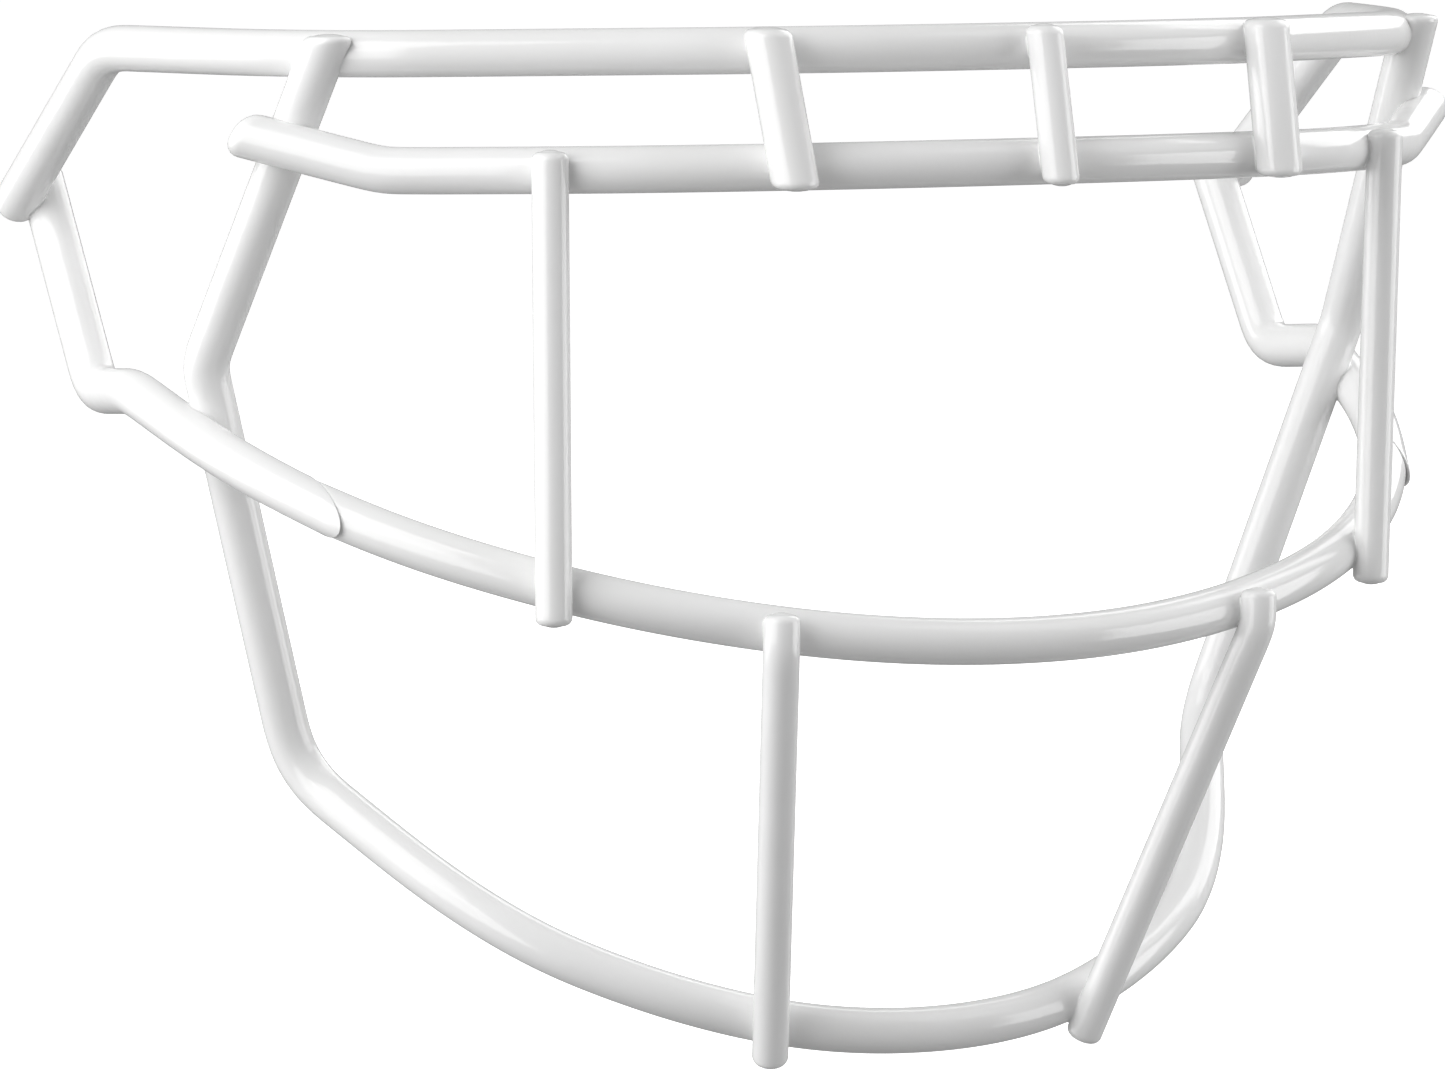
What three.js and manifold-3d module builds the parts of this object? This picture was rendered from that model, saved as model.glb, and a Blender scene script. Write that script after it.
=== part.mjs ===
// Face guard of an American football helmet: a cage of bent steel wires, welded where they cross
// and coated white.
// Millimetres. The front faces -Y, +Z is up and X = 0 is the plane of symmetry.
// The origin is on the centre line of the top bar, at the middle of the face.
import * as THREE from "three";
import { mergeVertices } from "three/addons/utils/BufferGeometryUtils.js";
import Module from "manifold-3d";

const wasm = await Module();
wasm.setup();

// Wire gauges, over the coating
const MAIN_RADIUS = 3.3;
const THIN_RADIUS = 2.6;

// Welded joints
const GAP = 0.3; // clearance between two pieces that touch
const WELD_THICKNESS = 0.6; // fused layer between two crossing wires
const SPACING = 0.8; // distance between the axes of two crossing wires, as a share of their radii's sum
const SEAM_X = 88.7; // where a side loop is butt-welded to the mouth bar, across the face's own axis
const SEAM_THICKNESS = 0.6; // of the fused slice of a butt weld, along X
const SEAM_PROUD = 0.15; // how far that slice stands above the wire
const SEAM_OVERLAP = 4; // how far along X a wire is drawn past its seam before it is cut there

// Slanting cuts across wire ends
const JAW_TOP = 2; // height of the level cut across the two ends of the jaw wire
const STUB_TOP = 3.3; // heights of the level cuts across the ends of the three brow stubs
const STUB_BOTTOM = -19.3;
const BROW_LEAN = THREE.MathUtils.degToRad(17); // lean of the cut across the ends of the brow bar

// Fineness of the sweeps
const SECTION_SIDES = 12;
const BEND_STEP = THREE.MathUtils.degToRad(15);
const SWEEP_STEP = THREE.MathUtils.degToRad(3.5);
const OVERRUN = 3; // how far a cutter, or a wire with slanting cuts, reaches past the end of its path
const STUB_OVERRUN = 8; // how far past both bars a stub is drawn before its ends are cut level

// Where the short wires cross the bars, as distances from the plane of symmetry
const STUB = { topX: 38.5, browX: 37.8 };
const UPPER_VERTICAL = { browX: 65.5, mouthX: 64.5, aboveBrowBar: 3.2, belowMouthBar: 5 };
const LOWER_VERTICAL = {
  mouthX: 37.5,
  jawX: 25,
  aboveMouthBar: 2.8,
  kneeDrop: 2.5,
  kneeRadius: 5,
  belowJawBar: 4,
};

const coating = new THREE.MeshStandardMaterial({ color: 0xf2f2f0, roughness: 0.25, metalness: 0 });
const weldCoating = new THREE.MeshStandardMaterial({ color: 0xe6e6e3, roughness: 0.35, metalness: 0 });

const sideX = new THREE.Vector3(1, 0, 0);
const backY = new THREE.Vector3(0, 1, 0);
const upZ = new THREE.Vector3(0, 0, 1);

// ---- Bent wires ----

const end = (x, y, z) => ({ at: new THREE.Vector3(x, y, z), kind: "end" });
const bend = (x, y, z, radius) => ({ at: new THREE.Vector3(x, y, z), kind: "bend", radius });
const sweep = (x, y, z) => ({ at: new THREE.Vector3(x, y, z), kind: "sweep" });

// The left half of a wire, from its end to the middle of the face, and its mirror image after it.
function mirrored(leftHalf) {
  const rightHalf = leftHalf.map((corner) => ({ ...corner, at: acrossPlane(corner.at) }));
  return [...leftHalf, ...rightHalf.reverse()];
}

function acrossPlane(point) {
  return new THREE.Vector3(-point.x, point.y, point.z);
}

// The curve that rounds one corner: an arc of a given radius for a bend, or for a sweep a long
// curve between the middles of the two legs.
function roundedCorner(before, corner, after) {
  const back = before.clone().sub(corner.at);
  const ahead = after.clone().sub(corner.at);
  const turn = Math.PI - back.angleTo(ahead);
  const isBend = corner.kind === "bend";
  const reach = corner.radius * Math.tan(turn / 2);
  const start = corner.at.clone().addScaledVector(back, isBend ? reach / back.length() : 0.5);
  const finish = corner.at.clone().addScaledVector(ahead, isBend ? reach / ahead.length() : 0.5);
  const step = isBend ? BEND_STEP : SWEEP_STEP;
  const curve = new THREE.QuadraticBezierCurve3(start, corner.at, finish);
  return { curve, steps: Math.max(1, Math.ceil(turn / step)) };
}

// A path for ExtrudeGeometry that keeps its own stations, close together in the bends and far
// apart on straight runs, and holds the section upright to a reference direction.
class WirePath extends THREE.Curve {
  constructor(stations, upright) {
    super();
    this.stations = stations;
    this.upright = upright;
  }

  static through(corners, upright) {
    const stations = [stationAt(corners[0].at, corners[1].at.clone().sub(corners[0].at))];
    for (let i = 1; i < corners.length - 1; i++) {
      const { curve, steps } = roundedCorner(corners[i - 1].at, corners[i], corners[i + 1].at);
      for (let k = 0; k <= steps; k++) {
        const station = stationAt(curve.getPoint(k / steps), curve.getTangent(k / steps));
        if (station.point.distanceTo(stations.at(-1).point) > 0.01) stations.push(station);
      }
    }
    const last = corners.at(-1).at;
    stations.push(stationAt(last, last.clone().sub(corners.at(-2).at)));
    return new WirePath(stations, upright);
  }

  getPointAt(u, target = new THREE.Vector3()) {
    return target.copy(this.stations[Math.round(u * (this.stations.length - 1))].point);
  }

  getTangentAt(u, target = new THREE.Vector3()) {
    return target.copy(this.stations[Math.round(u * (this.stations.length - 1))].tangent);
  }

  computeFrenetFrames() {
    const tangents = this.stations.map((station) => station.tangent);
    const binormals = tangents.map((t) => t.clone().cross(this.upright).normalize());
    const normals = tangents.map((t, i) => binormals[i].clone().cross(t).normalize());
    return { tangents, normals, binormals };
  }

  // The station where the wire passes a given x, between two of its own.
  whereX(x) {
    const past = this.stations.map((station) => station.point.x > x);
    const after = past.findIndex((isPast, i) => i > 0 && isPast !== past[i - 1]);
    const [a, b] = [this.stations[after - 1], this.stations[after]];
    const share = (x - a.point.x) / (b.point.x - a.point.x);
    const point = a.point.clone().lerp(b.point, share);
    return { after, ...stationAt(point, a.tangent.clone().lerp(b.tangent, share)) };
  }

  between(fromX, toX) {
    const first = this.whereX(fromX);
    const last = this.whereX(toX);
    return new WirePath([first, ...this.stations.slice(first.after, last.after), last], this.upright);
  }

  upTo(x) {
    const last = this.whereX(x);
    return new WirePath([...this.stations.slice(0, last.after), last], this.upright);
  }

  mirror() {
    const stations = this.stations.map((s) => stationAt(acrossPlane(s.point), acrossPlane(s.tangent)));
    return new WirePath(stations, acrossPlane(this.upright));
  }

  overrun(length) {
    const middle = this.stations.slice(1, -1);
    return new WirePath(
      [shifted(this.stations[0], -length), ...middle, shifted(this.stations.at(-1), length)],
      this.upright,
    );
  }
}

function stationAt(point, tangent) {
  return { point: point.clone(), tangent: tangent.clone().normalize() };
}

function shifted(station, distance) {
  return stationAt(station.point.clone().addScaledVector(station.tangent, distance), station.tangent);
}

// ---- Solids ----

// A regular polygon of the wire's area, with a flat facing the reference direction.
function wireSection(radius) {
  const slice = (2 * Math.PI) / SECTION_SIDES;
  const corner = radius * Math.sqrt(slice / Math.sin(slice));
  const outline = new THREE.Shape();
  for (let i = 0; i < SECTION_SIDES; i++) {
    const angle = slice * (i + 0.5);
    const [x, y] = [corner * Math.cos(angle), corner * Math.sin(angle)];
    if (i === 0) outline.moveTo(x, y);
    else outline.lineTo(x, y);
  }
  return outline;
}

function wireSolid(path, radius) {
  const steps = path.stations.length - 1;
  return solidFrom(new THREE.ExtrudeGeometry(wireSection(radius), { steps, extrudePath: path }));
}

// The part of a solid that lies behind a plane.
function cutBehind(solid, { at, facing }) {
  return solid.trimByPlane(facing.clone().negate().toArray(), -facing.dot(at));
}

function solidFrom(geometry) {
  const bare = geometry.clone();
  bare.deleteAttribute("normal");
  bare.deleteAttribute("uv");
  const merged = mergeVertices(bare, 1e-4);
  const vertProperties = merged.attributes.position.array;
  return new wasm.Manifold(new wasm.Mesh({ numProp: 3, vertProperties, triVerts: merged.index.array }));
}

function geometryFrom(solid) {
  const mesh = solid.getMesh();
  const geometry = new THREE.BufferGeometry();
  geometry.setAttribute("position", new THREE.BufferAttribute(mesh.vertProperties, 3));
  geometry.setIndex(new THREE.BufferAttribute(mesh.triVerts, 1));
  const faceted = geometry.toNonIndexed();
  faceted.computeVertexNormals();
  return faceted;
}

// ---- Wires that cross from one bar to another ----

// The point outside a bar where the axis of a crossing wire passes, spaced so that the two sink together.
function crossingPoint(bar, barRadius, x, along, radius) {
  const { point, tangent } = bar.whereX(x);
  const outward = tangent.clone().cross(along).normalize();
  if (outward.y > 0) outward.negate();
  return point.addScaledVector(outward, SPACING * (barRadius + radius));
}

// A straight wire on the outside of two bars, reaching a little past each.
function straightCrossing(upperBar, upperX, lowerBar, lowerX, radius, above, below) {
  const along = lowerBar.whereX(lowerX).point.sub(upperBar.whereX(upperX).point).normalize();
  const top = crossingPoint(upperBar, MAIN_RADIUS, upperX, along, radius);
  const bottom = crossingPoint(lowerBar, MAIN_RADIUS, lowerX, along, radius);
  const axis = bottom.clone().sub(top).normalize();
  const ends = [top.addScaledVector(axis, -above), bottom.addScaledVector(axis, below)];
  return new WirePath(ends.map((point) => stationAt(point, axis)), backY);
}

// A wire that starts upright on the mouth bar, bends at a knee just under it and leans back to the jaw bar.
function kneedCrossing(mouthBar, jawBar, side, shape, radius) {
  const down = new THREE.Vector3(0, 0, -1);
  const contact = crossingPoint(mouthBar, MAIN_RADIUS, side * shape.mouthX, down, radius);
  const knee = contact.clone().addScaledVector(down, shape.kneeDrop);
  const lean = jawBar.whereX(side * shape.jawX).point.sub(knee).normalize();
  const foot = crossingPoint(jawBar, MAIN_RADIUS, side * shape.jawX, lean, radius);
  const top = contact.addScaledVector(down, -shape.aboveMouthBar);
  const bottom = foot.clone().addScaledVector(foot.clone().sub(knee).normalize(), shape.belowJawBar);
  return WirePath.through([end(...top), bend(...knee, shape.kneeRadius), end(...bottom)], backY);
}

// ---- The wires ----

// Across the brow, back along both sides and down to the side loops
const topBar = WirePath.through(
  mirrored([
    end(-104, 113.3, -25.3),
    bend(-104, 81.5, -1, 9),
    sweep(-92, 43, -1),
    sweep(-64, 22, -0.5),
    sweep(-30, 0, 0),
  ]),
  upZ,
);

// Below the top bar, with its ends kinked upwards outside the jaw wire and cut so that the top is shorter
const browEnd = new THREE.Vector3(-99.5, 50.1, -11.8);
const browKink = new THREE.Vector3(-84, 34, -17);
const browBar = WirePath.through(
  mirrored([end(...browEnd), bend(...browKink, 5), sweep(-59, 11.5, -16.5), sweep(-25, -3.6, -16)]),
  upZ,
);
const browEndAxis = browEnd.clone().sub(browKink).normalize();
const browCut = browEndAxis.clone().applyAxisAngle(upZ.clone().cross(browEndAxis).normalize(), -BROW_LEAN);

// From the helmet's side down, forward under the cheek and across the mouth: two side loops and a
// mouth bar, butt-welded end to end
const mouthRun = WirePath.through(
  mirrored([
    end(-99.5, 113.9, -20),
    bend(-99.5, 94.5, -51, 5),
    bend(-100.5, 80.5, -50, 5),
    sweep(-95.5, 57, -59.5),
    sweep(-83, 35, -68.5),
    sweep(-62, 16, -76),
    sweep(-38, 5, -81),
    sweep(-13, -1, -83.5),
  ]),
  upZ,
);
const mouthBar = mouthRun.between(-SEAM_X - SEAM_OVERLAP, SEAM_X + SEAM_OVERLAP);
const leftLoop = mouthRun.upTo(-SEAM_X + SEAM_OVERLAP);
leftLoop.upright = sideX;

// From the top bar down each side of the face and round the jaw
const jawWire = WirePath.through(
  mirrored([
    end(-90, 39, 1.5),
    bend(-95.5, 67.5, -45.5, 5),
    bend(-76.5, 77, -105.5, 12.5),
    sweep(-60, 48.5, -126),
    sweep(-38, 34, -136.5),
    sweep(-14, 26.5, -142),
  ]),
  backY,
);

const leftStub = straightCrossing(
  topBar, -STUB.topX, browBar, -STUB.browX, MAIN_RADIUS, STUB_OVERRUN, STUB_OVERRUN,
);
const centreStub = straightCrossing(topBar, 0, browBar, 0, THIN_RADIUS, STUB_OVERRUN, STUB_OVERRUN);
const leftUpper = straightCrossing(
  browBar, -UPPER_VERTICAL.browX, mouthBar, -UPPER_VERTICAL.mouthX,
  THIN_RADIUS, UPPER_VERTICAL.aboveBrowBar, UPPER_VERTICAL.belowMouthBar,
);
const leftLower = kneedCrossing(mouthBar, jawWire, -1, LOWER_VERTICAL, THIN_RADIUS);

// The same cut at both ends of a wire that is its own mirror image
function bothEnds(at, facing) {
  return [{ at, facing }, { at: acrossPlane(at), facing: acrossPlane(facing) }];
}

const onX = (x) => new THREE.Vector3(x, 0, 0);
const seamClearance = SEAM_THICKNESS / 2 + GAP;
const mouthCuts = bothEnds(onX(SEAM_X - seamClearance), sideX);
const loopCuts = bothEnds(onX(-SEAM_X - seamClearance), sideX);
const stubCuts = [
  { at: new THREE.Vector3(0, 0, STUB_TOP), facing: upZ },
  { at: new THREE.Vector3(0, 0, STUB_BOTTOM), facing: upZ.clone().negate() },
];

// Each wire, the wires that it is notched to sit on, and the planes that cut its ends on a slant
const wires = {
  top_bar: { path: topBar, radius: MAIN_RADIUS, sitsOn: [], cuts: [] },
  brow_bar: {
    path: browBar.overrun(OVERRUN),
    radius: MAIN_RADIUS,
    sitsOn: [],
    cuts: bothEnds(browEnd, browCut),
  },
  mouth_bar: { path: mouthBar, radius: MAIN_RADIUS, sitsOn: [], cuts: mouthCuts },
  jaw_wire: {
    path: jawWire.overrun(OVERRUN),
    radius: MAIN_RADIUS,
    sitsOn: ["top_bar", "brow_bar", "left_side_loop", "right_side_loop"],
    cuts: [{ at: new THREE.Vector3(0, 0, JAW_TOP), facing: upZ }],
  },
  centre_brow_stub: {
    path: centreStub,
    radius: THIN_RADIUS,
    sitsOn: ["top_bar", "brow_bar"],
    cuts: stubCuts,
  },
};
const sides = { left: (path) => path, right: (path) => path.mirror() };
for (const [index, [side, placed]] of Object.entries(sides).entries()) {
  wires[side + "_side_loop"] = {
    path: placed(leftLoop),
    radius: MAIN_RADIUS,
    sitsOn: ["top_bar"],
    cuts: [loopCuts[index]],
  };
  wires[side + "_brow_stub"] = {
    path: placed(leftStub),
    radius: MAIN_RADIUS,
    sitsOn: ["top_bar", "brow_bar"],
    cuts: stubCuts,
  };
  wires[side + "_upper_vertical"] = {
    path: placed(leftUpper),
    radius: THIN_RADIUS,
    sitsOn: ["brow_bar", "mouth_bar"],
    cuts: [],
  };
  wires[side + "_lower_vertical"] = {
    path: placed(leftLower),
    radius: THIN_RADIUS,
    sitsOn: ["mouth_bar", "jaw_wire"],
    cuts: [],
  };
}

// ---- The assembly ----

const faceGuard = new THREE.Group();

function addNode(name, solid, material) {
  const mesh = new THREE.Mesh(geometryFrom(solid), material);
  mesh.name = name;
  faceGuard.add(mesh);
}

// The fused layers between a wire and one that it sits on, one for each place where they cross
function weldLayers(solid, seat) {
  const seatPath = seat.path.overrun(OVERRUN);
  const bare = wireSolid(seatPath, seat.radius + GAP);
  const covered = wireSolid(seatPath, seat.radius + GAP + WELD_THICKNESS);
  return solid.intersect(covered.subtract(bare)).decompose();
}

function sideOf(solid) {
  const { min, max } = solid.boundingBox();
  return min[0] + max[0] < 0 ? "left" : "right";
}

for (const [name, wire] of Object.entries(wires)) {
  const whole = wire.cuts.reduce(cutBehind, wireSolid(wire.path, wire.radius));
  let notched = whole;
  for (const seatName of wire.sitsOn) {
    const seat = wires[seatName];
    const layers = weldLayers(whole, seat);
    for (const layer of layers) {
      const place = layers.length > 1 ? sideOf(layer) + "_" : "";
      addNode(`weld_${place}${name}_on_${seatName}`, layer, weldCoating);
    }
    const seatAndLayer = wireSolid(seat.path.overrun(OVERRUN), seat.radius + 2 * GAP + WELD_THICKNESS);
    notched = notched.subtract(seatAndLayer);
  }
  addNode(name, notched, coating);
}

// The fused slices between the mouth bar and the side loops
const seamStretch = mouthRun.between(-SEAM_X - SEAM_OVERLAP, -SEAM_X + SEAM_OVERLAP);
for (const [side, direction] of [["left", -1], ["right", 1]]) {
  const stretch = wireSolid(sides[side](seamStretch), MAIN_RADIUS + SEAM_PROUD);
  const slice = [
    { at: onX(direction * SEAM_X + SEAM_THICKNESS / 2), facing: sideX },
    { at: onX(direction * SEAM_X - SEAM_THICKNESS / 2), facing: acrossPlane(sideX) },
  ].reduce(cutBehind, stretch);
  addNode(`${side}_butt_weld`, slice, weldCoating);
}

export default faceGuard;
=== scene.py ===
"""Visual model of a football helmet's face guard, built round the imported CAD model.

Metres. The front faces -Y, +Z is up, and the origin is the CAD model's.
"""

import math

import bmesh
import bpy
import numpy as np
from mathutils import Matrix, Vector


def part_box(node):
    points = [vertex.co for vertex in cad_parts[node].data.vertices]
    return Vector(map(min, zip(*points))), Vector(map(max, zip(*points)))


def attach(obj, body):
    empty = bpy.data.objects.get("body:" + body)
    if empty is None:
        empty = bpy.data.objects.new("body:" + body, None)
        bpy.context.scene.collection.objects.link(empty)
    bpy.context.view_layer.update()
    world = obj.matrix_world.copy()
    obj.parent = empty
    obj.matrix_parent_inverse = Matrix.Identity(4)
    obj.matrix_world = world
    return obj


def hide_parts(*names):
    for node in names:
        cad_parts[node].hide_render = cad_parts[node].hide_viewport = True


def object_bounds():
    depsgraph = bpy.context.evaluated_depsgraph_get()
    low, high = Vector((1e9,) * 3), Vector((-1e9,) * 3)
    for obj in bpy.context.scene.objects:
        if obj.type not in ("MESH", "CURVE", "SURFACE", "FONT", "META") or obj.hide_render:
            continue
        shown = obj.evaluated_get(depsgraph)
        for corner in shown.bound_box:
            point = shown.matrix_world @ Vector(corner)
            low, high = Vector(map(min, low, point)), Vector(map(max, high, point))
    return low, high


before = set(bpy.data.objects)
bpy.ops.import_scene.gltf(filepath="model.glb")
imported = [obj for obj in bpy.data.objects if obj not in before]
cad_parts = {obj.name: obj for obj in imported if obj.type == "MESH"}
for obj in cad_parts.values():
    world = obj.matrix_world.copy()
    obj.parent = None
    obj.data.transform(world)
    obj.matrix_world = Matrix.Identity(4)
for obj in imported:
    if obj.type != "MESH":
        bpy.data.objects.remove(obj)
cad_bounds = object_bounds()

MM = 0.001

# Wires: each node, and the axis that the wire roughly follows half way across its box
WIRES = {
    "top_bar": "X",
    "brow_bar": "X",
    "mouth_bar": "X",
    "jaw_wire": "X",
    "left_side_loop": "Z",
    "right_side_loop": "Z",
    "left_brow_stub": "Z",
    "centre_brow_stub": "Z",
    "right_brow_stub": "Z",
    "left_upper_vertical": "Z",
    "right_upper_vertical": "Z",
    "left_lower_vertical": "Z",
    "right_lower_vertical": "Z",
}
SIDES = 32  # round the wire
RING_SPACING = 1.0 * MM

# Cut ends of wires
END_ROUNDING = 1.15 * MM  # radius of the coating round a cut end
WELL_ROUNDED = {"brow_bar": 2.4 * MM}  # the radius where the ends are rounded off more
ROUNDING_RINGS = 6
END_DOME = 0.3 * MM  # how far the coated end face swells
DOME_RINGS = ((0.66, 0.45), (0.33, 0.12))  # (share of the face's radius, share of the dome's height below)
TURNING_RINGS = 6  # over which rings turn to a slanting end face
TURNING_STRETCH = 1.3  # times the depth of the slant that this takes

# Tracing the centre lines of the CAD wires
TRACE_STEP = 0.5 * MM
SQUARING_ROUNDS = 3  # in which the first section is turned square to the wire
DIRECTION_STEPS = 4  # steps back over which a wire's direction is read
SECTION_REACH = 1.6  # radii within which a section's segments lie
FULL_SECTION = 0.985  # share of the wire's area below which a section is read as notched
END_SECTION = 0.2  # share below which the wire has ended
OFF_PLANE = 1e-12  # height given to a corner that lies in the cutting plane
SHORTEST_FLAT = 0.01 * MM
FLAT_TOLERANCES = (0.3 * MM, 0.1 * MM, 0.05 * MM)  # flats further out of place belong to a notch
LEAST_HOLD = 0.01  # share of the firmest hold below which flats leave a direction free
CAP_REACH = 4  # radii from the tip within which its end face lies
CAP_LEAN = 0.4  # least cosine between the wire and the normal of its end face
CAP_TOLERANCE = 0.05 * MM  # by which the wire may reach past the plane of its end face
SAME_PLANE = 0.9999  # least cosine between the normals of two triangles of one face

# Smoothing the centre lines
FINE_SMOOTHING = 1.0 * MM
COARSE_SMOOTHING = 3.5 * MM
BLUR_REACH = 3  # times its width that a blur reaches
GENTLE_TURN = math.radians(10)  # over TURN_SPAN, below which a stretch is smoothed coarsely
SHARP_TURN = 1.6  # times GENTLE_TURN, above which it is smoothed finely
TURN_SPAN = 8 * MM

# Crossing welds
FILLET = 0.4 * MM  # size of the coating's fillet in the crease of a crossing
FILLET_SEGMENTS = 6
FILLET_TAPER = 1.2 * MM  # over which a fillet fades out towards the end of a wire
LEAST_FILLET = 0.1  # share of its size that is left there
FILLET_SINK = 0.6 * MM  # how deep it then lies inside the other wire
FILLET_EMBED = 0.08  # share of its size by which its edges lie inside the wires
FILLET_BACK = 0.4  # share of its size by which its back lies inside both wires
CREASE_POINTS = 96
CROSSING_REACH = 12 * MM
SETTLING_ROUNDS = 5
NEAR_STEPS = 2  # steps to either side over which a line's direction is read

# Butt welds
SEAM_GAP = 0.16 * MM  # between the two coated ends
SEAM_ROUNDING = 0.12 * MM  # of the coating at the two edges of that gap
SEAM_ROUNDING_RINGS = 3
SEAM_DEPTH = 0.08 * MM  # of the weld's surface below the wires'
SEAM_WELD_REACH = 1.5 * SEAM_GAP  # of the weld to either side of its middle
SEAM_WELD_RINGS = 5
SEAM_SEARCH = 8 * MM  # a wire's end nearer than this to a butt weld belongs to it
SEAM_STEPS = 5  # steps back over which the wire's direction is read there

# The coating: its whites, the roughness of its gloss, and the noise (scale per metre, detail) of each
WHITES = ((0.84, 0.84, 0.835, 1), (0.88, 0.88, 0.88, 1))
ROUGHNESS = (0.1, 0.17)
NOISE_RANGE = (0.3, 0.7)  # the part of the noise over which they change
TINT_NOISE = (35, 3)
GLOSS_NOISE = (140, 4)
PEEL_NOISE = (650, 2)
PEEL_HEIGHT = 0.05 * MM
PEEL_STRENGTH = {"wire_coating": 0.5, "weld_coating": 0.8}

# The camera, and where it aims, from the middle of the CAD model's box
CAMERA_AZIMUTH = math.radians(-29)
CAMERA_ELEVATION = math.radians(5)
CAMERA_DISTANCE = 1.4061
CAMERA_LENS = 241.1
CAMERA_CLIP_END = 100
SENSOR_WIDTH = 36
AIM_RIGHT = -17.42 * MM
AIM_UP = -1.06 * MM

# Each soft box: the way to it as seen by the camera (right, up, towards the camera), and its radiance
SOFT_BOXES = {
    "left_high_box": ((-1, 1, 1), 3.0),
    "left_box": ((-1, 0, 0), 3.2),
    "left_front_box": ((-1, 0, 1), 2.7),
    "right_box": ((1, 0, 0), 3.5),
    "right_high_box": ((1, 1, 0), 1.0),
    "right_back_box": ((1, 1, -1), 2.5),
}
BOX_SIDE = 0.71
BOX_DISTANCE = 1.0

# The stage
SURROUND = 0.31  # strength of the even white light from all round
FLOOR_REACH = 20
FLOOR_GLOW = 0.75  # strength of the light that the floor gives off
FLOOR_WHITE = (0.9, 0.9, 0.9, 1)
FLOOR_ROUGHNESS = 0.9


# ---- Geometry read from the frame ----


def unit(vector):
    return vector / np.linalg.norm(vector)


def way_out(line, at_start, steps=DIRECTION_STEPS):
    """The direction in which a line of points runs out at its start or its end."""
    return unit(line[0] - line[steps]) if at_start else unit(line[-1] - line[-1 - steps])


def distances_along(line):
    return np.r_[0, np.cumsum(np.linalg.norm(np.diff(line, axis=0), axis=1))]


def centre_of(node):
    return np.array(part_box(node)).mean(0)


def triangles_of(node):
    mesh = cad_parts[node].data
    mesh.calc_loop_triangles()
    points = np.array([v.co for v in mesh.vertices], float)
    corners = np.array([t.vertices for t in mesh.loop_triangles])
    return points[corners]


def cut(triangles, point, direction, reach):
    """The segments in which a plane cuts the triangles near a point, each with the solid on its left."""
    height = (triangles - point) @ direction
    height = np.where(height == 0, OFF_PLANE, height)
    crossing = (height.min(1) < 0) & (height.max(1) > 0)
    tri, h = triangles[crossing], height[crossing]
    following = np.roll(tri, -1, 1)
    met = (h < 0) != (np.roll(h, -1, 1) < 0)
    drop = np.where(met, h - np.roll(h, -1, 1), 1)
    at = tri + (following - tri) * (h / drop)[:, :, None]
    pairs = at[met].reshape(-1, 2, 3)
    normal = np.cross(tri[:, 1] - tri[:, 0], tri[:, 2] - tri[:, 0])
    forward = np.cross(direction, normal)
    backwards = ((pairs[:, 1] - pairs[:, 0]) * forward).sum(1) < 0
    pairs[backwards] = pairs[backwards][:, ::-1]
    return pairs[np.linalg.norm(pairs.mean(1) - point, axis=1) < reach]


def section(pairs, point, direction):
    """Area and centroid of the cross-section that the segments enclose."""
    a, b = pairs[:, 0] - point, pairs[:, 1] - point
    areas = 0.5 * np.cross(a, b) @ direction
    area = areas.sum()
    if area <= 0:
        return 0.0, point
    return area, point + ((a + b) / 3 * areas[:, None]).sum(0) / area


def flats(pairs, direction):
    """Middles, outward normals and lengths of a section's segments."""
    outward = np.cross(pairs[:, 1] - pairs[:, 0], direction)
    lengths = np.linalg.norm(outward, axis=1)
    kept = lengths > SHORTEST_FLAT
    return pairs[kept].mean(1), outward[kept] / lengths[kept][:, None], lengths[kept]


def centre_of_flats(pairs, direction, guess, flat_distance):
    """The wire's centre in a notched section: the point at the right distance from the flats left."""
    middles, outward, lengths = flats(pairs, direction)
    centre = guess
    for tolerance in FLAT_TOLERANCES:
        error = ((middles - centre) * outward).sum(1) - flat_distance
        kept = abs(error) < tolerance
        weights = lengths[kept]
        sides = outward[kept] * weights[:, None]
        centre = centre + np.linalg.lstsq(sides, error[kept] * weights, rcond=LEAST_HOLD)[0]
    return centre


def end_face(triangles, tip, direction, radius):
    """A point and the outward normal of the plane in which a wire ends, its largest outermost face."""
    triangles = triangles[np.linalg.norm(triangles.mean(1) - tip, axis=1) < CAP_REACH * radius]
    normals = np.cross(triangles[:, 1] - triangles[:, 0], triangles[:, 2] - triangles[:, 0])
    areas = np.linalg.norm(normals, axis=1)
    normals = normals / areas[:, None]
    heights = (triangles[:, 0] * normals).sum(1)
    beyond = (normals @ triangles.reshape(-1, 3).T).max(1) - heights
    outermost = (normals @ direction > CAP_LEAN) & (beyond < CAP_TOLERANCE)
    face_areas = (normals[outermost] @ normals[outermost].T > SAME_PLANE) @ areas[outermost]
    largest = face_areas.argmax()
    return triangles[outermost][largest][0], normals[outermost][largest]


def ended(points, face_point, face_normal):
    """The points with the last stretch carried straight on, or cut off, to meet the end face."""
    points = [p for p in points if (p - face_point) @ face_normal < -TRACE_STEP]
    way = way_out(points, at_start=False)
    return points + [points[-1] + way * ((face_point - points[-1]) @ face_normal) / (way @ face_normal)]


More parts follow.
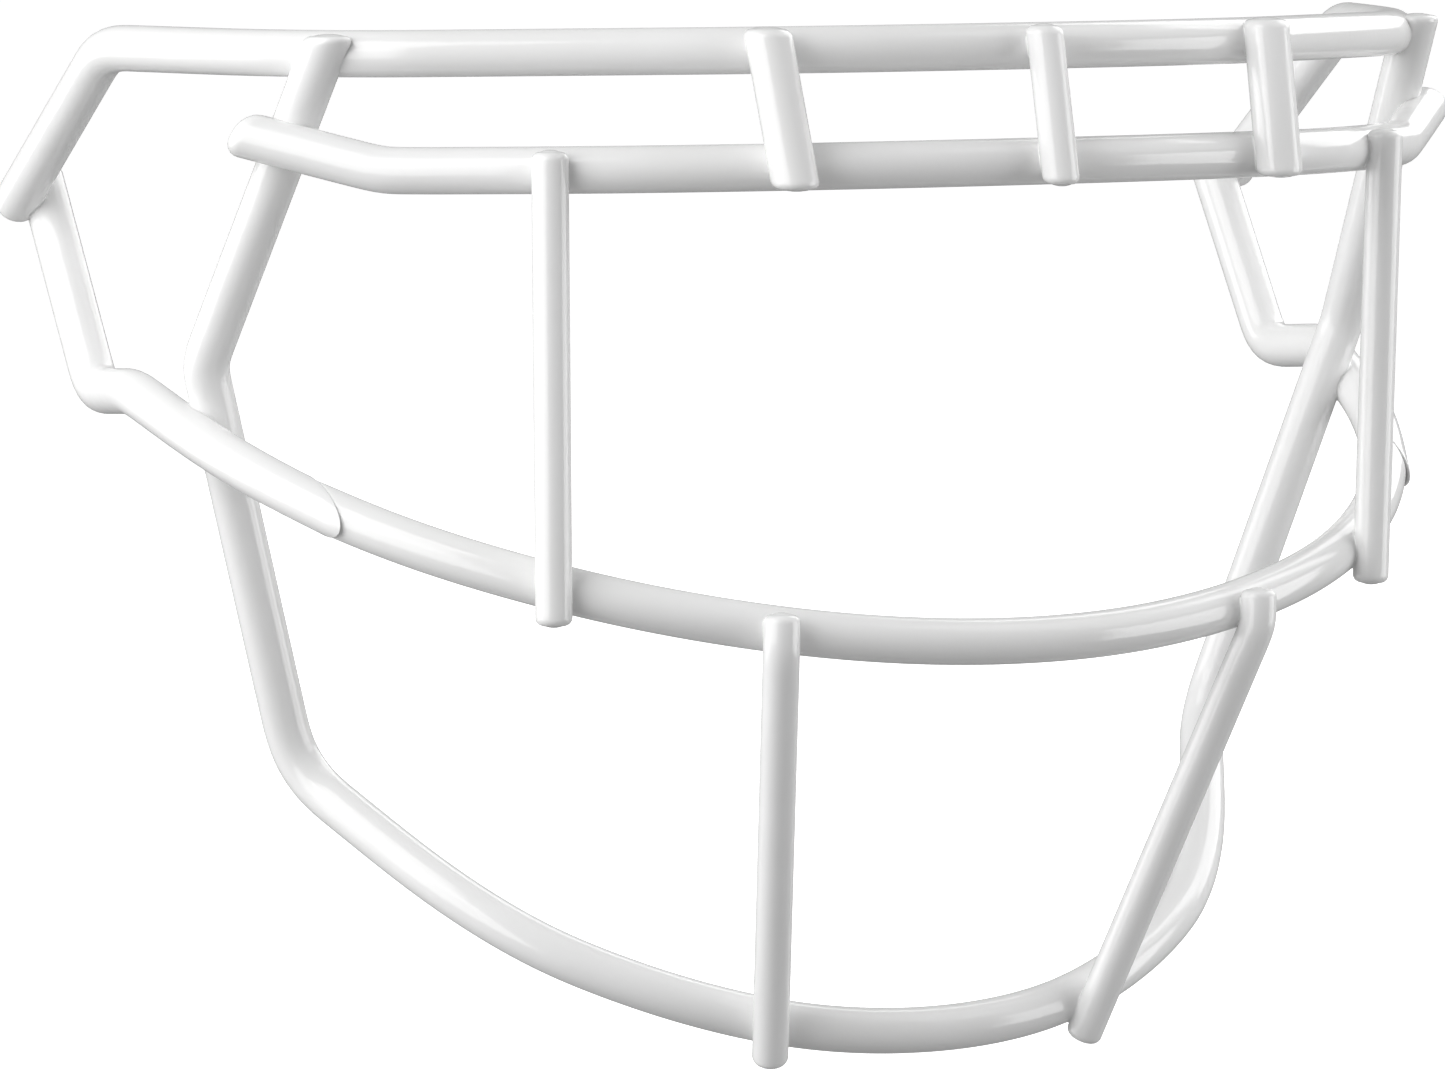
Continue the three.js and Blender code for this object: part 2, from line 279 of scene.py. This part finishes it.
def trace(node, start_axis):
    """A CAD wire's centre line as points, the normals of its two end faces, and its radius."""
    triangles = triangles_of(node)
    low, high = np.array(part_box(node))
    heading = np.eye(3)["XYZ".index(start_axis)]
    middle = centre_of(node)
    everywhere = np.linalg.norm(high - low)
    for _ in range(SQUARING_ROUNDS):
        pairs = cut(triangles, middle, heading, everywhere)
        full, middle = section(pairs, middle, heading)
        further = middle + heading * TRACE_STEP
        _area, ahead = section(cut(triangles, further, heading, everywhere), further, heading)
        heading = unit(ahead - middle)
    radius = math.sqrt(full / math.pi)
    middles, outward, lengths = flats(pairs, heading)
    flat_distance = np.average(((middles - middle) * outward).sum(1), weights=lengths)
    halves, normals = [], []
    for sign in (-1, 1):
        points, direction = [middle], heading * sign
        while True:
            guess = points[-1] + direction * TRACE_STEP
            pairs = cut(triangles, guess, direction, SECTION_REACH * radius)
            area, centre = section(pairs, guess, direction)
            if area < END_SECTION * full:
                break
            if area < FULL_SECTION * full:
                centre = centre_of_flats(pairs, direction, guess, flat_distance)
            points.append(centre)
            direction = unit(centre - points[max(len(points) - 1 - DIRECTION_STEPS, 0)])
        face_point, face_normal = end_face(triangles, points[-1], direction, radius)
        halves.append(ended(points, face_point, face_normal))
        normals.append(face_normal)
    return np.array(halves[0][::-1] + halves[1][1:]), normals, radius


def resampled(line, spacing):
    along = distances_along(line)
    count = max(2, round(along[-1] / spacing) + 1)
    at = np.linspace(0, along[-1], count)
    return np.stack([np.interp(at, along, line[:, k]) for k in range(3)], 1)


def blurred(line, width):
    """A Gaussian blur along the line, whose ends are carried straight on so that they stay in place."""
    reach = min(int(BLUR_REACH * width / TRACE_STEP) + 1, len(line) - 1)
    kernel = np.exp(-0.5 * (np.arange(-reach, reach + 1) * TRACE_STEP / width) ** 2)
    kernel /= kernel.sum()
    before = 2 * line[0] - line[1 : reach + 1][::-1]
    after = 2 * line[-1] - line[-reach - 1 : -1][::-1]
    padded = np.concatenate([before, line, after])
    return np.stack([np.convolve(padded[:, k], kernel, "valid") for k in range(3)], 1)


def smoothed(line):
    """Rounds off the CAD's straight steps: gentle stretches over a long window, bends over a short one."""
    line = resampled(line, TRACE_STEP)
    span = round(TURN_SPAN / TRACE_STEP)
    fine = blurred(line, FINE_SMOOTHING)
    if len(line) <= 2 * span + 2:
        return fine
    coarse = blurred(line, COARSE_SMOOTHING)
    steps = np.diff(fine, axis=0)
    steps /= np.linalg.norm(steps, axis=1)[:, None]
    ahead = np.r_[steps[span:], np.repeat(steps[-1:], span, 0)]
    behind = np.r_[np.repeat(steps[:1], span, 0), steps[:-span]]
    turn = np.arccos(np.clip((ahead * behind).sum(1), -1, 1))
    turn = np.r_[turn, turn[-1]]
    sharpness = np.clip((turn / GENTLE_TURN - 1) / (SHARP_TURN - 1), 0, 1)
    box = np.ones(span) / span
    sharpness = np.convolve(np.pad(sharpness, span, "edge"), box, "same")[span:-span, None]
    return fine * sharpness + coarse * (1 - sharpness)


# ---- Meshes ----


def frames_along(line):
    """A tangent and two side vectors at each point, turned as little as possible from one to the next."""
    tangents = np.gradient(line, axis=0)
    tangents /= np.linalg.norm(tangents, axis=1)[:, None]
    least = np.eye(3)[abs(tangents[0]).argmin()]
    side = unit(np.cross(tangents[0], least))
    sides = []
    for tangent in tangents:
        side = unit(side - tangent * (side @ tangent))
        sides.append(side)
    sides = np.array(sides)
    return tangents, sides, np.cross(tangents, sides)


def ring(centre, side, up, radius):
    angles = np.linspace(0, 2 * math.pi, SIDES, endpoint=False)[:, None]
    return centre + radius * (np.cos(angles) * side + np.sin(angles) * up)


def linked(name, data):
    """A new object in the scene that shows a mesh, a lamp or a camera."""
    obj = bpy.data.objects.new(name, data)
    bpy.context.scene.collection.objects.link(obj)
    return obj


def lofted(name, rings, tips=None):
    """A mesh from rings of points, closed by a point at each end, or end to start where there are none."""
    count = len(rings[0])
    points = [tuple(p) for r in rings for p in r]
    faces = []
    bands = len(rings) if tips is None else len(rings) - 1
    for k in range(bands):
        a, b = k * count, (k + 1) % len(rings) * count
        for i in range(count):
            j = (i + 1) % count
            faces.append((a + i, a + j, b + j, b + i))
    if tips is not None:
        start, end = len(points), len(points) + 1
        points += [tuple(t) for t in tips]
        back = (len(rings) - 1) * count
        for i in range(count):
            j = (i + 1) % count
            faces.append((start, j, i))
            faces.append((end, back + i, back + j))
    mesh = bpy.data.meshes.new(name)
    mesh.from_pydata(points, [], faces)
    shaped = bmesh.new()
    shaped.from_mesh(mesh)
    bmesh.ops.recalc_face_normals(shaped, faces=shaped.faces)
    shaped.to_mesh(mesh)
    shaped.free()
    mesh.polygons.foreach_set("use_smooth", [True] * len(mesh.polygons))
    return linked(name, mesh)


def quarter_turn(steps):
    return np.linspace(0, math.pi / 2, steps + 1)


def rounded_profile(radius, rounding):
    """A coated end, from the full radius to near the middle of its face: (depth below the tip, radius)."""
    flat = radius - rounding
    profile = [
        (END_DOME + rounding * (1 - math.sin(a)), flat + rounding * math.cos(a))
        for a in quarter_turn(ROUNDING_RINGS)
    ]
    return profile + [(END_DOME * drop, flat * out) for out, drop in DOME_RINGS]


def seam_profile(radius):
    """The end of a wire at a butt weld: square, with the coating just rounded at its edge."""
    profile = [
        (SEAM_GAP / 2 + SEAM_ROUNDING * (1 - math.sin(a)), radius - SEAM_ROUNDING * (1 - math.cos(a)))
        for a in quarter_turn(SEAM_ROUNDING_RINGS)
    ]
    return profile + [(SEAM_GAP / 2, radius / 2)]


def placed_rings(line, stations):
    """Rings square to the line at the given (distance along it, radius), each with the tangent there."""
    distances = distances_along(line)
    tangents, sides, ups = frames_along(line)
    rings = []
    for along, radius in stations:
        centre, side, up, tangent = (
            np.array([np.interp(along, distances, values[:, k]) for k in range(3)])
            for values in (line, sides, ups, tangents)
        )
        rings.append((ring(centre, unit(side), unit(up), radius), unit(tangent)))
    return rings


def slid(points, tangent, centre, normal, share=1.0):
    """Slides ring points along the wire, by a share of the way, towards the plane square to the normal."""
    return points - tangent * (share * ((points - centre) @ normal) / (tangent @ normal))[:, None]


def end_rings(line, normal, profile, at_start):
    """Rings of a wire's end, turning from square to parallel with its face, and the depth of the first."""
    length = distances_along(line)[-1]
    lean = abs(way_out(line, at_start) @ normal)
    stations = [(depth / lean, radius, 1.0) for depth, radius in profile]
    full_depth, full_radius, _share = stations[0]
    slant = math.sqrt(1 / lean**2 - 1) * full_radius
    if slant > RING_SPACING / 2:
        for k in range(1, TURNING_RINGS + 1):
            away = k / TURNING_RINGS
            stations.insert(0, (full_depth + TURNING_STRETCH * slant * away, full_radius, 1 - away))
    placed = placed_rings(line, [(d if at_start else length - d, radius) for d, radius, _share in stations])
    rings = [
        slid(points, tangent, points.mean(0), normal, share)
        for (points, tangent), (_depth, _radius, share) in zip(placed, stations)
    ]
    return rings, stations[0][0]


def wire_mesh(name, line, radius, normals, seams, rounding):
    """A round wire along a line, with each of its ends either at a butt weld or rounded and coated."""
    line = resampled(line, RING_SPACING)
    profiles = [seam_profile(radius) if seam else rounded_profile(radius, rounding) for seam in seams]
    start, start_depth = end_rings(line, normals[0], profiles[0], True)
    finish, finish_depth = end_rings(line, normals[1], profiles[1], False)
    first, last = start_depth, distances_along(line)[-1] - finish_depth
    count = round((last - first) / RING_SPACING) + 1
    body = placed_rings(line, [(along, radius) for along in np.linspace(first, last, count)[1:-1]])
    rings = start[::-1] + [points for points, _tangent in body] + finish
    return lofted(name, rings, (rings[0].mean(0), rings[-1].mean(0)))


def nearest_on(line, point):
    """The nearest point of a centre line, and its direction there."""
    index = np.linalg.norm(line - point, axis=1).argmin()
    way = unit(line[min(index + NEAR_STEPS, len(line) - 1)] - line[max(index - NEAR_STEPS, 0)])
    return line[index] + way * ((point - line[index]) @ way), way


def crossing_of(bar, wire, near):
    """Where two centre lines pass closest to each other: for each, its point and its direction there."""
    bar_near = bar[np.linalg.norm(bar - near, axis=1) < CROSSING_REACH]
    wire_near = wire[np.linalg.norm(wire - near, axis=1) < CROSSING_REACH]
    gaps = np.linalg.norm(bar_near[:, None] - wire_near[None], axis=2)
    i, j = np.unravel_index(gaps.argmin(), gaps.shape)
    return nearest_on(bar, bar_near[i]), nearest_on(wire, wire_near[j])


def settled(point, bar, wire, bar_radius, wire_radius):
    """Moves a point near the crease on to both surfaces, and gives the two normals there."""
    for _ in range(SETTLING_ROUNDS):
        normals, gaps = [], []
        for line, radius in ((bar, bar_radius), (wire, wire_radius)):
            foot, _way = nearest_on(line, point)
            distance = np.linalg.norm(point - foot)
            normals.append((point - foot) / distance)
            gaps.append(radius - distance)
        lean = normals[0] @ normals[1]
        steps = np.linalg.solve([[1, lean], [lean, 1]], gaps)
        point = point + steps[0] * normals[0] + steps[1] * normals[1]
    return point, normals[0], normals[1]


def before_end(line, point):
    """The share of a full fillet at a point: 1, or down to 0 near an end of the line."""
    nearer = min((line[0] - point) @ way_out(line, True), (line[-1] - point) @ way_out(line, False))
    return min(max((nearer - END_ROUNDING / 2) / FILLET_TAPER, 0), 1)


def crease(bar, wire, near, bar_radius, wire_radius):
    """The closed curve in which a wire's surface meets the bar's.

    Gives its points, each with the normals of both surfaces and the share of a full fillet there.
    """
    (bar_point, bar_way), (wire_point, wire_way) = crossing_of(bar, wire, near)
    apart = unit(np.cross(bar_way, wire_way))
    apart = apart * np.sign(apart @ (wire_point - bar_point))
    spacing = (wire_point - bar_point) @ apart
    across = np.cross(bar_way, apart)
    side = np.cross(wire_way, apart)
    base = wire_point - apart * spacing
    half_angle = math.acos(np.clip((spacing - bar_radius) / wire_radius, -1, 1))
    loop = []
    for k in range(CREASE_POINTS):
        phase = 2 * math.pi * k / CREASE_POINTS
        tilt = half_angle * math.cos(phase)
        height = spacing - wire_radius * math.cos(tilt)
        off_axis = math.copysign(math.sqrt(max(bar_radius**2 - height**2, 0)), math.sin(phase))
        sideways = side * wire_radius * math.sin(tilt)
        start = base + sideways - bar_point
        offset = (off_axis - start @ across) / (wire_way @ across)
        point = base + sideways + apart * height + wire_way * offset
        point, bar_normal, wire_normal = settled(point, bar, wire, bar_radius, wire_radius)
        on_wire, on_bar = before_end(wire, point), before_end(bar, point)
        sink = bar_normal * (1 - on_wire) + wire_normal * (1 - on_bar)
        loop.append((point - sink * FILLET_SINK, bar_normal, wire_normal, min(on_wire, on_bar)))
    return loop


def fillet_mesh(name, loop):
    """A closed bead with a hollow outer face, which fills the crease between two wires."""
    points = np.array([point for point, *_rest in loop])
    tangents = np.roll(points, -1, 0) - np.roll(points, 1, 0)
    rings = []
    for tangent, (point, bar_normal, wire_normal, share) in zip(tangents, loop):
        size = FILLET * max(share, LEAST_FILLET)
        on_bar = unit(np.cross(tangent, bar_normal))
        on_bar *= np.sign(on_bar @ wire_normal)
        on_wire = unit(np.cross(tangent, wire_normal))
        on_wire *= np.sign(on_wire @ bar_normal)
        foot = point + (on_bar - bar_normal * FILLET_EMBED) * size
        head = point + (on_wire - wire_normal * FILLET_EMBED) * size
        bead = []
        for k in range(FILLET_SEGMENTS + 1):
            t = k / FILLET_SEGMENTS
            bead.append((1 - t) ** 2 * foot + 2 * t * (1 - t) * point + t**2 * head)
        bead.append(point - (bar_normal + wire_normal) * FILLET_BACK * size)
        rings.append(bead)
    return lofted(name, rings)


def seam_mesh(name, bar, radius, x):
    """The weld between two wires end to end: a short length of wire, cut square across at a given X."""
    end = bar[0] if abs(bar[0][0] - x) < abs(bar[-1][0] - x) else bar[-1]
    _foot, way = nearest_on(bar, end)
    side = unit(np.cross(way, [0, 0, 1]))
    outline = ring(end, side, np.cross(way, side), radius - SEAM_DEPTH)
    outline = slid(outline, way, end, np.array([1.0, 0, 0]))
    rings = [outline + way * step * SEAM_WELD_REACH for step in np.linspace(-1, 1, SEAM_WELD_RINGS)]
    return lofted(name, rings, (rings[0].mean(0), rings[-1].mean(0)))


# ---- Materials ----


def coating_material(name, peel_strength):
    """Gloss white polymer coating: orange peel, small changes of gloss, and a trace of warm and cool."""
    material = bpy.data.materials.new(name)
    material.use_nodes = True
    nodes, links = material.node_tree.nodes, material.node_tree.links
    shader = nodes["Principled BSDF"]
    place = nodes.new("ShaderNodeTexCoord")

    def noise(scale, detail):
        node = nodes.new("ShaderNodeTexNoise")
        node.inputs["Scale"].default_value = scale
        node.inputs["Detail"].default_value = detail
        links.new(place.outputs["Object"], node.inputs["Vector"])
        return node.outputs["Fac"]

    tint = nodes.new("ShaderNodeValToRGB")
    for stop, position, white in zip(tint.color_ramp.elements, NOISE_RANGE, WHITES):
        stop.position = position
        stop.color = white
    links.new(noise(*TINT_NOISE), tint.inputs["Fac"])
    links.new(tint.outputs["Color"], shader.inputs["Base Color"])

    gloss = nodes.new("ShaderNodeMapRange")
    gloss.inputs["From Min"].default_value, gloss.inputs["From Max"].default_value = NOISE_RANGE
    gloss.inputs["To Min"].default_value, gloss.inputs["To Max"].default_value = ROUGHNESS
    links.new(noise(*GLOSS_NOISE), gloss.inputs["Value"])
    links.new(gloss.outputs["Result"], shader.inputs["Roughness"])

    peel = nodes.new("ShaderNodeBump")
    peel.inputs["Strength"].default_value = peel_strength
    peel.inputs["Distance"].default_value = PEEL_HEIGHT
    links.new(noise(*PEEL_NOISE), peel.inputs["Height"])
    links.new(peel.outputs["Normal"], shader.inputs["Normal"])
    return material


def floor_material():
    """A white that gives off its own light."""
    material = bpy.data.materials.new("floor")
    material.use_nodes = True
    shader = material.node_tree.nodes["Principled BSDF"]
    shader.inputs["Base Color"].default_value = FLOOR_WHITE
    shader.inputs["Roughness"].default_value = FLOOR_ROUGHNESS
    shader.inputs["Emission Color"].default_value = (1, 1, 1, 1)
    shader.inputs["Emission Strength"].default_value = FLOOR_GLOW
    return material


coatings = {slot: coating_material(slot, strength) for slot, strength in PEEL_STRENGTH.items()}


# ---- The guard ----


def finish_piece(piece, slot, node):
    piece.data.materials.append(coatings[slot])
    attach(piece, "root")
    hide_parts(node)


butt_welds = [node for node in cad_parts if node.endswith("butt_weld")]


def seam_near(point):
    """The X of the butt weld at an end of a wire, or None."""
    for weld in butt_welds:
        centre = centre_of(weld)
        if np.linalg.norm(centre - point) < SEAM_SEARCH:
            return centre[0]
    return None


def carried_to_seams(line):
    """The line, with its ends at butt welds carried straight on to them, and which of its two ends are."""
    seams = [seam_near(line[0]), seam_near(line[-1])]
    for at_start, seam in zip((True, False), seams):
        if seam is not None:
            end = line[0] if at_start else line[-1]
            way = way_out(line, at_start, SEAM_STEPS)
            tip = end + way * (seam - end[0]) / way[0]
            line = np.vstack([tip, line] if at_start else [line, tip])
    return line, [seam is not None for seam in seams]


lines, radii = {}, {}
for node, axis in WIRES.items():
    traced, normals, radii[node] = trace(node, axis)
    lines[node], seams = carried_to_seams(smoothed(traced))
    rounding = WELL_ROUNDED.get(node, END_ROUNDING)
    piece = wire_mesh(node + "_wire", lines[node], radii[node], normals, seams, rounding)
    finish_piece(piece, "wire_coating", node)

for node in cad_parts:
    if "_on_" not in node:
        continue
    crossing, bar = node.split("_on_")
    wire = next(w for w in WIRES if crossing.endswith(w))
    loop = crease(lines[bar], lines[wire], centre_of(node), radii[bar], radii[wire])
    finish_piece(fillet_mesh(node.replace("weld_", "fillet_"), loop), "weld_coating", node)

for node in butt_welds:
    piece = seam_mesh(node + "_seam", lines["mouth_bar"], radii["mouth_bar"], centre_of(node)[0])
    finish_piece(piece, "weld_coating", node)


# ---- Camera, light and stage ----


def turned_to(right_way, up_way, back_way, at):
    return Matrix.Translation(at) @ Matrix((right_way, up_way, back_way)).transposed().to_4x4()


low, high = (Vector(c) for c in cad_bounds)
middle = (low + high) / 2
back = Vector(
    (
        math.sin(CAMERA_AZIMUTH) * math.cos(CAMERA_ELEVATION),
        -math.cos(CAMERA_AZIMUTH) * math.cos(CAMERA_ELEVATION),
        math.sin(CAMERA_ELEVATION),
    )
)
right = Vector((math.cos(CAMERA_AZIMUTH), math.sin(CAMERA_AZIMUTH), 0))
up = back.cross(right)

camera_data = bpy.data.cameras.new("camera")
camera_data.lens = CAMERA_LENS
camera_data.sensor_width = SENSOR_WIDTH
camera_data.clip_end = CAMERA_CLIP_END
camera = linked("camera", camera_data)
camera_place = middle + right * AIM_RIGHT + up * AIM_UP + back * CAMERA_DISTANCE
camera.matrix_world = turned_to(right, up, back, camera_place)
bpy.context.scene.camera = camera

for name, (place, radiance) in SOFT_BOXES.items():
    way = (right * place[0] + up * place[1] + back * place[2]).normalized()
    data = bpy.data.lights.new(name, "AREA")
    data.shape = "SQUARE"
    data.size = BOX_SIDE
    data.energy = radiance * math.pi * BOX_SIDE**2
    facing = way.to_track_quat("Z", "Y").to_matrix().to_4x4()
    linked(name, data).matrix_world = Matrix.Translation(middle + way * BOX_DISTANCE) @ facing

floor_mesh = bpy.data.meshes.new("floor")
floor_corners = [(x * FLOOR_REACH, y * FLOOR_REACH, low.z) for x, y in ((-1, -1), (1, -1), (1, 1), (-1, 1))]
floor_mesh.from_pydata(floor_corners, [], [(0, 1, 2, 3)])
floor_mesh.materials.append(floor_material())
floor = linked("floor", floor_mesh)
floor.visible_diffuse = False
floor.visible_glossy = False

world = bpy.data.worlds.new("studio")
world.use_nodes = True
world.node_tree.nodes["Background"].inputs["Color"].default_value = (1, 1, 1, 1)
world.node_tree.nodes["Background"].inputs["Strength"].default_value = SURROUND
bpy.context.scene.world = world
bpy.context.scene.view_settings.view_transform = "Standard"

bpy.context.view_layer.update()
